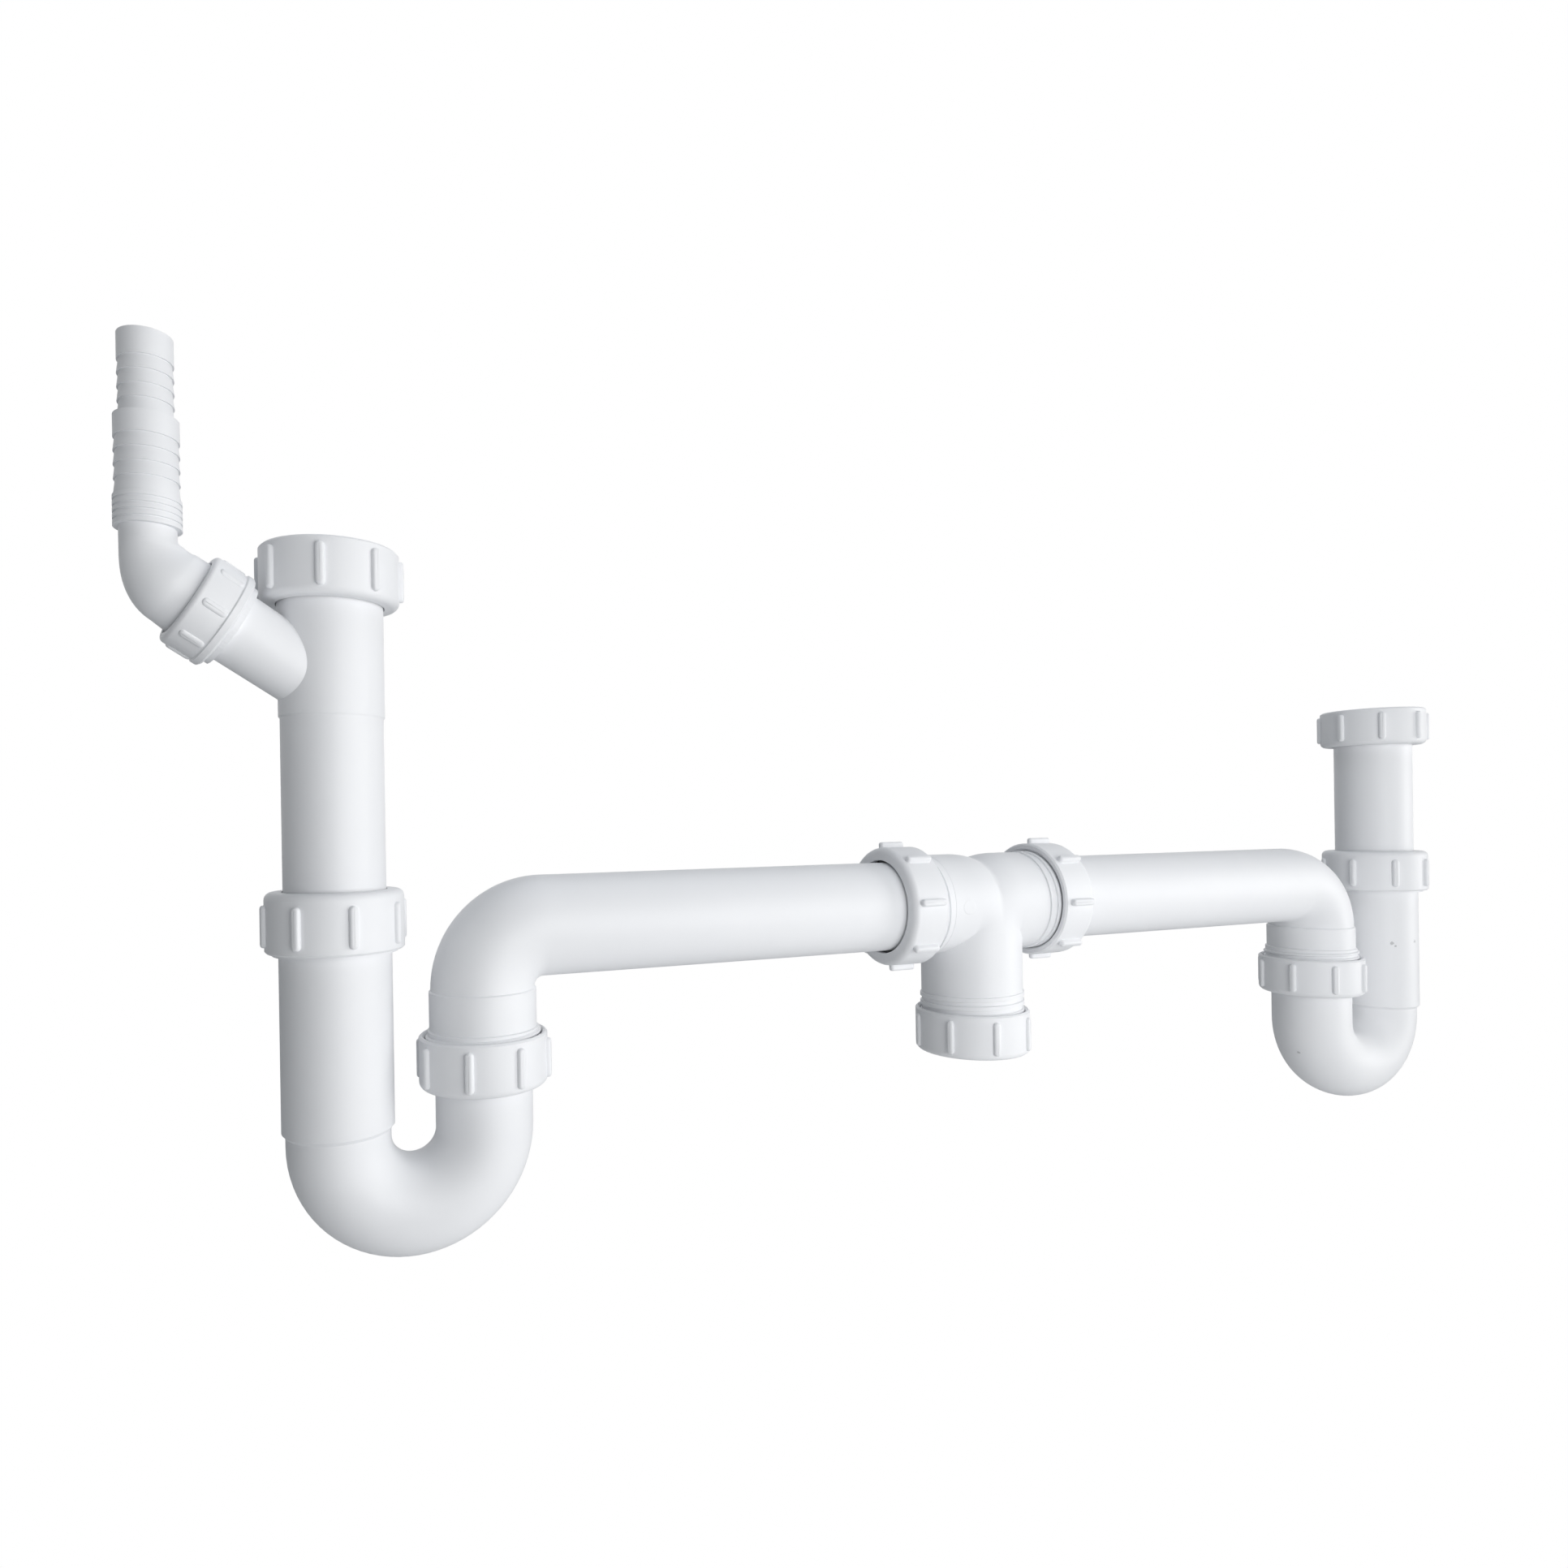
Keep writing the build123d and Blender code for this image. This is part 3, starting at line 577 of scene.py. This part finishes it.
# %% [markdown]
# ## Hose nozzle
# The nozzle takes the drain hose of a washing machine or dishwasher. Its circles run down the barbed tail,
# round the elbow, which widens as it goes, and into the nut. In the throat of the elbow they stretch inwards,
# so that its inner side runs straight from the tail to the nut. The threaded band under the barbs is five fine
# rings. All of it is built in the plane of the branch and then turned to the side on which the branch stands,
# because a chain of circles is easiest to place in one plane.

# %% Hose nozzle outlines
BRANCH_PITCH, BRANCH_YAW, BRANCH_RISE = 30.0, 198.0, 97.0
TAIL_REACH, TAIL_BEND_R = 65.3, 15.5
TAIL_R, TAIL_BORE_R = 9.4, 6.8
BAND_R, BAND_LENGTH, BAND_RINGS, BAND_DEPTH = 11.18, 11.4, 5, 0.5
BAND_CREST, BAND_GROOVE = 0.6, (0.7, 0.95)
BARB_PITCH, BARB_DEPTH, BARB_COUNT = 4.95, 0.6, 4
BARBS = ((10.7, 7.6), (9.2, 9.2))
THROAT_LEAD = (5.0, 4.0, 3.2, 2.6, 2.0, 1.5, 1.0, 0.5)
THROAT_SOFT = 0.9
branch_place = level(0, -INLET_X) @ Matrix.Rotation(math.radians(BRANCH_YAW), 4, "Z")


def barbed_outline(low):
    """Outline of the band and barbs from their foot up, as (radius, height) points."""
    points = []
    step = BAND_LENGTH / BAND_RINGS
    for i in range(BAND_RINGS):
        start = low + i * step
        points += [(BAND_R, start), (BAND_R, start + BAND_CREST * step)]
        points += [(BAND_R - BAND_DEPTH, start + share * step) for share in BAND_GROOVE]
    height = low + BAND_LENGTH
    for barb_r, collar in BARBS:
        for _ in range(BARB_COUNT):
            points += [(barb_r, height), (barb_r - BARB_DEPTH, height + BARB_PITCH)]
            height += BARB_PITCH
        points += [(barb_r, height), (barb_r, height + collar)]
        height += collar
    return points


def filled(place, radius, throat_line):
    """Section of the elbow whose inner side reaches in to the line of the elbow's throat, softly."""
    inner = TAIL_BEND_R - radius
    inner = (inner + throat_line - math.hypot(inner - throat_line, THROAT_SOFT)) / 2
    reach = (TAIL_BEND_R + radius - inner) / 2
    moved = place @ Matrix.Translation(((radius - reach) * MM, 0, 0))
    return moved @ Matrix.Diagonal((reach / radius, 1, 1, 1)), radius


print(len(barbed_outline(0)), "points on the outline of the barbs")

# %% Hose nozzle
ELBOW_END_R, ELBOW_MOUTH_R, ELBOW_BORE_R = 14.0, 14.6, 11.0
HOSE_NUT_END, HOSE_FLANGE_R = 61.0, 16.3
HOSE_FLANGE = (3.25, 5.75)
TAIL_TOP = ARM_HEIGHT + 217.8


def nozzle_piece():
    """The elbow nozzle with its barbed tail."""
    pitch = math.radians(BRANCH_PITCH)
    turn = 90 - BRANCH_PITCH
    tangent = TAIL_BEND_R * math.tan(math.radians(turn) / 2)
    corner = TAIL_REACH / math.cos(pitch)
    foot = ARM_HEIGHT + BRANCH_RISE + corner * math.sin(pitch) + tangent
    steps = [i / ARC_STEPS for i in range(ARC_STEPS + 1)]
    arc = [on_arc(TAIL_REACH - TAIL_BEND_R, foot, TAIL_BEND_R, -turn * step) for step in steps]
    shares = [step * step * (3 - 2 * step) for step in steps]
    throat = TAIL_BEND_R - ELBOW_END_R
    lead = [filled(level(foot + z, TAIL_REACH), TAIL_R, (throat + z * math.cos(pitch)) / math.sin(pitch))
            for z in THROAT_LEAD]
    elbow = [filled(place, TAIL_R + (ELBOW_END_R - TAIL_R) * share,
                    throat / math.cos(math.radians(turn * (1 - step))))
             for place, share, step in zip(arc, shares, steps)]
    elbow_end = HOSE_NUT_END - corner + tangent
    band_foot = TAIL_TOP - sum(collar for _, collar in BARBS) - 2 * BARB_COUNT * BARB_PITCH - BAND_LENGTH
    tail = [(level(z, TAIL_REACH), r) for r, z in barbed_outline(band_foot)]
    neck = [along(arc[-1], elbow_end - z) for z in (0.0, *HOSE_FLANGE)]
    outside = [
        *reversed(tail),
        (level(band_foot, TAIL_REACH), TAIL_R),
        *lead,
        *elbow,
        (neck[0], ELBOW_MOUTH_R),
        (neck[1], ELBOW_MOUTH_R),
        (neck[1], HOSE_FLANGE_R),
        (neck[2], HOSE_FLANGE_R),
    ]
    bore = [(place, TAIL_BORE_R + (ELBOW_BORE_R - TAIL_BORE_R) * share) for place, share in zip(arc, shares)]
    inside = [(neck[2], ELBOW_BORE_R), *reversed(bore), (level(TAIL_TOP, TAIL_REACH), TAIL_BORE_R)]
    bm = skin(outside + inside)
    bmesh.ops.transform(bm, matrix=branch_place, verts=bm.verts[:])
    return piece(bm, "hose_nozzle")


print(nozzle_piece().name)

# %% [markdown]
# ## The tee
# The tee joins both arms to one outlet, with two sweeps that merge. Where they merge, its solid already has the
# right form, so a welded copy of it is used. The plain bands that stand for its threads are drawn in to the
# thread's root, and ridges are wound on them. At the outlet they run a little past the band, as the photograph
# shows.

# %% Tee
TEE_R, TEE_THREAD_R, TEE_ROOT_R = 24.6, 25.2, 24.45
OUTLET_MOUTH, OUTLET_BAND_TOP, OUTLET_THREAD_TOP = -1.5, 20.6, 24.4
RUN_MOUTH, RUN_BAND = 46.75, 19.0
TEE_PITCH, TEE_CREST, TEE_FOOT = 4.2, 0.22, 0.32
BAND_MARGIN = 0.1
FINE_DEGREES = 16


def add_tee_thread(bm, place, low, high, thread_high):
    """Draws the thread band about a place's Z in to the root, and winds ridges on it up to thread_high."""
    inverse = place.inverted()
    for vert in bm.verts:
        local = inverse @ vert.co
        on_band = abs(local.xy.length - TEE_THREAD_R * MM) < ON_WALL_MM * MM
        if on_band and (low - BAND_MARGIN) * MM < local.z < (high + BAND_MARGIN) * MM:
            local.xy *= TEE_ROOT_R / TEE_THREAD_R
            vert.co = place @ local
    absorb(bm, thread(TEE_ROOT_R, TEE_THREAD_R, TEE_PITCH, low, thread_high, TEE_CREST, TEE_FOOT), place)


tee = merged_copy("tee")
tee_walls = [(Matrix(), TEE_R), (Matrix(), TEE_ROOT_R)]
add_tee_thread(tee, Matrix(), OUTLET_MOUTH, OUTLET_BAND_TOP, OUTLET_THREAD_TOP)
for sign in SIDES.values():
    run_place = level(ARM_HEIGHT) @ Matrix.Rotation(sign * math.pi / 2, 4, "Y")
    add_tee_thread(tee, run_place, RUN_MOUTH - RUN_BAND, RUN_MOUTH, RUN_MOUTH)
    tee_walls += [(run_place, TEE_R), (run_place, TEE_ROOT_R)]
tee_piece = piece(tee, "tee", FINE_DEGREES)
true_normals(tee_piece.data, tee_walls)
print(tee_piece.name)

# %% [markdown]
# ## Inlet tubes, seals and rings
# The inlet tubes slide in their sockets so that the trap fits sinks of different depths. The right one is a
# plain turned shape. The left one merges with the branch and is copied, as are the seals, rings and washers
# that the nuts hide.

# %% Inlet tubes and hidden rings
INLET_END = ARM_HEIGHT - 22.95
RIGHT_FLANGE = ARM_HEIGHT + 86.65
TUBE_BORE_R = 17.65
BRANCH_R = 14.0
right_tube = turned([
    (TUBE_R, INLET_END),
    (TUBE_R, RIGHT_FLANGE),
    (FLANGE_R, RIGHT_FLANGE),
    (FLANGE_R, RIGHT_FLANGE + FLANGE_THICKNESS),
    (TUBE_BORE_R, RIGHT_FLANGE + FLANGE_THICKNESS),
    (TUBE_BORE_R, INLET_END),
], INLET_X)
print(piece(right_tube, "right_inlet_tube").name)
left_tube = piece(merged_copy("left_inlet_tube"), "left_inlet_tube", FINE_DEGREES)
branch_axis = Matrix.Rotation(math.radians(90 - BRANCH_PITCH), 4, "Y")
branch_wall = level(ARM_HEIGHT + BRANCH_RISE) @ branch_place @ branch_axis
inlet_axis = level(0, -INLET_X)
true_normals(left_tube.data, [(inlet_axis, TUBE_R), (inlet_axis, BRANCH_TUBE_R), (branch_wall, BRANCH_R)])
print(left_tube.name)
hidden = sorted(node for node in nodes if slot_of[node] != "white_plastic")
for node in hidden:
    piece(merged_copy(node), node)
print("copies of", len(hidden), "seals, rings and washers")

# %% [markdown]
# ## Floor and backdrop
# The picture is a catalogue shot on a white sweep. White paper under strong lamps would wash the plastic out,
# so the floor and the world are white by way of the light path: to the camera, and in the world also to rays
# that shine off or through a surface. The light that the world sheds on the object stays at a plain level.

# %% Floor and backdrop
FLOOR_DROP = 0.25
FLOOR_SIZE = 6.0
floor_mesh = bpy.data.meshes.new("floor")
floor_bm = bmesh.new()
bmesh.ops.create_grid(floor_bm, x_segments=1, y_segments=1, size=FLOOR_SIZE)
floor_bm.to_mesh(floor_mesh)
floor_bm.free()
floor = bpy.data.objects.new("floor", floor_mesh)
floor.location.z = cad_low[2] - FLOOR_DROP
bpy.context.scene.collection.objects.link(floor)
pale_paper = bpy.data.materials.new("pale_paper_floor")
pale_paper.use_nodes = True
paper_tree = pale_paper.node_tree
paper = paper_tree.nodes["Principled BSDF"]
paper.inputs["Base Color"].default_value = colour("#F4F4F4")
paper.inputs["Roughness"].default_value = 0.9
sight = add_node(paper_tree, "ShaderNodeLightPath").outputs["Is Camera Ray"]
white = add_node(paper_tree, "ShaderNodeEmission", {"Color": colour("#FFFFFF"), "Strength": 1.0})
seen = add_node(paper_tree, "ShaderNodeMixShader", None, {0: sight, 1: paper.outputs[0], 2: white.outputs[0]})
paper_tree.links.new(seen.outputs[0], paper_tree.nodes["Material Output"].inputs["Surface"])
floor_mesh.materials.append(pale_paper)

world = bpy.data.worlds.new("white_studio")
bpy.context.scene.world = world
world.use_nodes = True
world_tree = world.node_tree
room = world_tree.nodes["Background"]
room.inputs["Color"].default_value = colour("#E8EDF0")
room.inputs["Strength"].default_value = 0.24
backdrop = add_node(world_tree, "ShaderNodeBackground", {"Color": colour("#FFFFFF"), "Strength": 1.0})
rays = add_node(world_tree, "ShaderNodeLightPath")
through = add_node(world_tree, "ShaderNodeMath", None,
                   {0: rays.outputs["Is Camera Ray"], 1: rays.outputs["Is Transmission Ray"]},
                   operation="MAXIMUM")
mirrored = add_node(world_tree, "ShaderNodeMath", None,
                    {0: through.outputs[0], 1: rays.outputs["Is Glossy Ray"]}, operation="MAXIMUM")
sky = add_node(world_tree, "ShaderNodeMixShader", None,
               {0: mirrored.outputs[0], 1: room.outputs[0], 2: backdrop.outputs[0]})
world_tree.links.new(sky.outputs[0], world_tree.nodes["World Output"].inputs["Surface"])
print("floor", FLOOR_DROP, "m under the trap")

# %% [markdown]
# ## Light
# In the photograph the tubes turn grey on their left flanks and stay white on the right. A large level light,
# like a window, at the right front gives that, because its broad glow wraps round a tube. A small softbox in
# front of the middle and a panel overhead fill in.

# %% Lights
def softbox(name, place, target, size, power, tint):
    """Square area light aimed at a point, in metres and watts."""
    lamp = bpy.data.lights.new(name, "AREA")
    lamp.shape = "SQUARE"
    lamp.size = size
    lamp.energy = power
    lamp.color = colour(tint)[:3]
    holder = bpy.data.objects.new(name, lamp)
    aim = Vector(target) - Vector(place)
    holder.matrix_world = Matrix.Translation(place) @ aim.to_track_quat("-Z", "Y").to_matrix().to_4x4()
    bpy.context.scene.collection.objects.link(holder)
    print(name, power, "W")


softbox("window_softbox", (1.90, -1.30, 0.12), (-0.10, -2.27, 0.10), 1.6, 38.0, "#FFFEFC")
softbox("front_softbox", (0.02, -0.65, 0.10), (-0.06, 0.0, 0.07), 0.5, 2.5, "#FFFFFF")
softbox("ceiling_softbox", (-0.10, 0.10, 1.30), (0.0, 0.0, 0.0), 1.2, 4.5, "#F4F8FF")

# %% [markdown]
# ## Camera
# The photograph was taken from close by, in front of the left trap and with a wide view, so the right trap
# looks small. The camera stands where the outlines of the pieces agree best with the photograph. Its shift
# moves the frame without turning the view, as a shift lens does.

# %% Camera
CAMERA_PLACE_MM = (-326.87, -402.72, 109.59)
CAMERA_YAW = 0.36179
CAMERA_PITCH = 0.00189
CAMERA_ROLL = -0.01595
IMAGE_SIZE = 1932
FOCAL_PIXELS = 1187.82
SENSOR_MM = 36.0
camera_data = bpy.data.cameras.new("camera")
camera_data.sensor_width = SENSOR_MM
camera_data.lens = FOCAL_PIXELS * SENSOR_MM / IMAGE_SIZE
camera_data.shift_x = 0.0859
camera_data.shift_y = 0.0254
camera_data.clip_start = 0.01
camera = bpy.data.objects.new("camera", camera_data)
level_view = Matrix.Rotation(math.pi / 2 - CAMERA_PITCH, 4, "X")
camera.matrix_world = (Matrix.Translation(Vector(CAMERA_PLACE_MM) * MM) @ Matrix.Rotation(-CAMERA_YAW, 4, "Z")
                       @ level_view @ Matrix.Rotation(CAMERA_ROLL, 4, "Z"))
bpy.context.scene.collection.objects.link(camera)
bpy.context.scene.camera = camera
bpy.context.scene.view_settings.view_transform = "Standard"
print("camera lens", round(camera_data.lens, 2), "mm")
